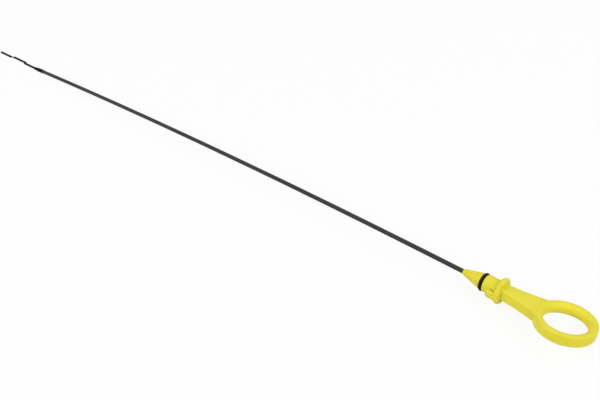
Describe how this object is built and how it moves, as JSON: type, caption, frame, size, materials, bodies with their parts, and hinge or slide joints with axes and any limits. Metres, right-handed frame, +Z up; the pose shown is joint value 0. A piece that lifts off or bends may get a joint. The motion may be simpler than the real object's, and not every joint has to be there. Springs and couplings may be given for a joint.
{
  "type": "engine oil dipstick",
  "caption": "Engine oil dipstick with a moulded pull-ring handle, a collar and sealed plug, a long thin bowed rod and a gauge tip stepped at its level marks.",
  "frame": {"origin": "centre of the collar's front face, on the plug's axis, where the collar seats on the mouth of the tube", "axes": "+X along the plug's axis towards the pull ring, -X towards the gauge tip, +Z up as the part lies, +Y towards the side of the pull ring that rests on the floor"},
  "size_m": [0.6001, 0.0362, 0.017],
  "materials": {
    "handle_plastic": "satin moulded yellow plastic",
    "seal_rubber": "smooth black rubber",
    "rod_coating": "satin dark grey coating on steel",
    "tip_plastic": "satin black plastic"
  },
  "bodies": {
    "root": {"handle": "handle_plastic", "o_ring": "seal_rubber", "rod": "rod_coating", "gauge_tip": "tip_plastic"}
  },
  "joints": []
}
